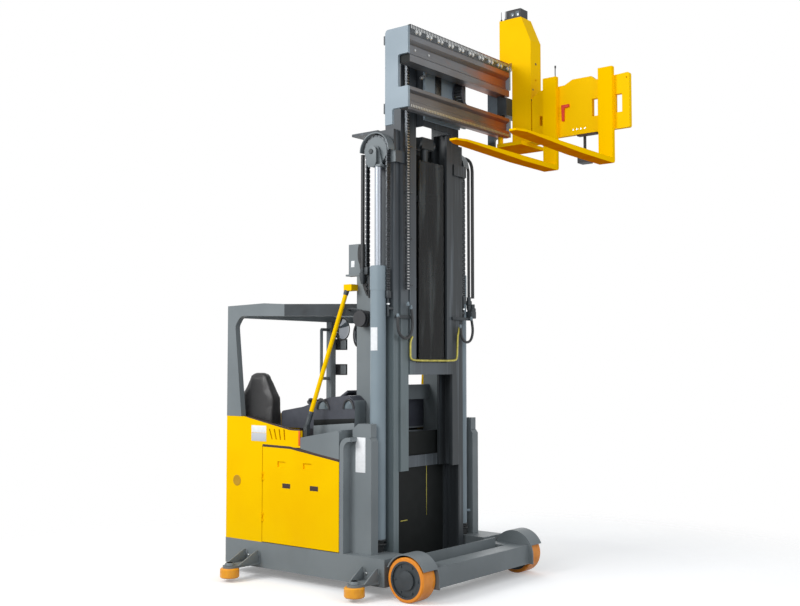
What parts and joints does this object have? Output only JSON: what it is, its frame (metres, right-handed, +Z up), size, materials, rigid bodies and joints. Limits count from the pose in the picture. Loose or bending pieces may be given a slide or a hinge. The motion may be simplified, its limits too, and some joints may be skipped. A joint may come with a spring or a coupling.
{
  "type": "tri-lateral stacker",
  "caption": "Electric narrow-aisle stacker with a three-stage mast and a traversing head whose forks swivel to either side, on a wheeled chassis with guide rollers.",
  "frame": {"origin": "the middle of the underside of the whole machine's box, on the floor", "axes": "+X forward from the cab to the mast and forks, +Y to the driver's left side of the machine, +Z up"},
  "size_m": [2.938, 2.21, 4.675],
  "materials": {
    "yellow_paint": "gloss enamel",
    "grey_paint": "satin enamel",
    "mast_paint": "satin enamel, worn on the running faces",
    "cylinder_paint": "satin enamel",
    "rail_steel": "rolled and milled steel, oiled",
    "rod_chrome": "ground chrome",
    "tread_orange": "polyurethane",
    "hub_charcoal": "painted cast iron",
    "black_plastic": "grained",
    "dash_plastic": "moulded",
    "seat_leather": "grained vinyl",
    "clear_panel": "smoked clear sheet",
    "battery_case": "matt",
    "drive_iron": "painted"
  },
  "bodies": {
    "chassis": {"chassis_frame": "grey_paint", "body_side_right": "yellow_paint", "body_side_left": "yellow_paint", "rear_panel": "yellow_paint", "hood": "grey_paint", "cab_tub": "grey_paint", "battery": "battery_case", "console": "dash_plastic", "steering_pod": "dash_plastic", "steering_wheel": "black_plastic", "seat_base": "black_plastic", "seat_cushion": "seat_leather", "seat_back": "seat_leather", "overhead_guard": "grey_paint", "slim_post": "grey_paint", "mast_tower": "grey_paint", "mast_outer": "mast_paint", "lift_cylinders": "cylinder_paint", "tie_struts": "yellow_paint", "guide_brackets": "grey_paint", "side_brackets": "grey_paint", "lamps": "black_plastic", "mirrors": "black_plastic"},
    "front_wheel_right": {"front_tread_right": "tread_orange", "front_hub_right": "hub_charcoal"},
    "front_wheel_left": {"front_tread_left": "tread_orange", "front_hub_left": "hub_charcoal"},
    "drive_unit": {"drive_yoke": "drive_iron"},
    "drive_wheel": {"drive_tread": "tread_orange", "drive_hub": "hub_charcoal"},
    "guide_rear_right": {"guide_roller_rear_right": "tread_orange"},
    "guide_rear_left": {"guide_roller_rear_left": "tread_orange"},
    "guide_front_right": {"guide_roller_front_right": "tread_orange"},
    "guide_front_left": {"guide_roller_front_left": "tread_orange"},
    "door_right": {"door_right": "yellow_paint"},
    "door_left": {"door_left": "yellow_paint"},
    "mast_middle": {"mast_middle": "mast_paint", "lift_rods": "rod_chrome", "sheave_heads": "cylinder_paint"},
    "mast_inner": {"mast_inner": "mast_paint", "mast_guard": "clear_panel", "free_lift_tube": "cylinder_paint"},
    "free_lift_head": {"free_lift_rod": "rod_chrome"},
    "lift_carriage": {"lift_carriage": "mast_paint", "traverse_frame": "cylinder_paint", "rail_top": "rail_steel", "rail_low": "rail_steel"},
    "traverse_head": {"head_column": "yellow_paint", "head_carrier": "hub_charcoal", "head_camera": "black_plastic"},
    "fork_carriage": {"fork_plate": "yellow_paint", "fork_near": "yellow_paint", "fork_far": "yellow_paint", "fork_camera": "black_plastic"}
  },
  "joints": [
    {"name": "front_wheel_right_spin", "type": "hinge", "parent": "chassis", "child": "front_wheel_right", "pos_m": [0.431, -0.7165, 0.16], "axis": [0, 1, 0], "continuous": true},
    {"name": "front_wheel_left_spin", "type": "hinge", "parent": "chassis", "child": "front_wheel_left", "pos_m": [0.431, 0.7165, 0.16], "axis": [0, 1, 0], "continuous": true},
    {"name": "drive_steer", "type": "hinge", "parent": "chassis", "child": "drive_unit", "pos_m": [-1.129, -0.23, 0.17], "axis": [0, 0, 1], "range_deg": [-90, 90]},
    {"name": "drive_wheel_spin", "type": "hinge", "parent": "drive_unit", "child": "drive_wheel", "pos_m": [-1.129, -0.23, 0.17], "axis": [0, 1, 0], "continuous": true},
    {"name": "guide_rear_right_spin", "type": "hinge", "parent": "chassis", "child": "guide_rear_right", "pos_m": [-1.119, -1.03, 0.067], "axis": [0, 0, 1], "continuous": true},
    {"name": "guide_rear_left_spin", "type": "hinge", "parent": "chassis", "child": "guide_rear_left", "pos_m": [-1.119, 1.03, 0.067], "axis": [0, 0, 1], "continuous": true},
    {"name": "guide_front_right_spin", "type": "hinge", "parent": "chassis", "child": "guide_front_right", "pos_m": [0.111, -0.97, 0.067], "axis": [0, 0, 1], "continuous": true},
    {"name": "guide_front_left_spin", "type": "hinge", "parent": "chassis", "child": "guide_front_left", "pos_m": [0.111, 0.97, 0.067], "axis": [0, 0, 1], "continuous": true},
    {"name": "door_right_swing", "type": "hinge", "parent": "chassis", "child": "door_right", "pos_m": [-1.022, -0.788, 0.66], "axis": [0, 0, -1], "range_deg": [0, 100]},
    {"name": "door_left_swing", "type": "hinge", "parent": "chassis", "child": "door_left", "pos_m": [-0.606, 0.788, 0.66], "axis": [0, 0, 1], "range_deg": [0, 100]},
    {"name": "mast_lift", "type": "slide", "parent": "chassis", "child": "mast_middle", "axis": [0, 0, 1], "range_m": [-0.75, 1.2]},
    {"name": "mast_inner_lift", "type": "slide", "parent": "mast_middle", "child": "mast_inner", "axis": [0, 0, 1], "range_m": [-0.75, 1.2]},
    {"name": "carriage_lift", "type": "slide", "parent": "mast_inner", "child": "lift_carriage", "axis": [0, 0, 1], "range_m": [-1.62, 0]},
    {"name": "free_lift", "type": "slide", "parent": "mast_inner", "child": "free_lift_head", "axis": [0, 0, 1], "range_m": [-0.81, 0]},
    {"name": "head_traverse", "type": "slide", "parent": "lift_carriage", "child": "traverse_head", "axis": [0, 1, 0], "range_m": [-1.58, 0]},
    {"name": "fork_swivel", "type": "hinge", "parent": "traverse_head", "child": "fork_carriage", "pos_m": [1.031, 0.79, 3.73], "axis": [0, 0, 1], "range_deg": [0, 180]}
  ],
  "couplings": [
    {"joint": "mast_inner_lift", "follows": "mast_lift", "ratio": 1},
    {"joint": "free_lift", "follows": "carriage_lift", "ratio": 0.5}
  ]
}
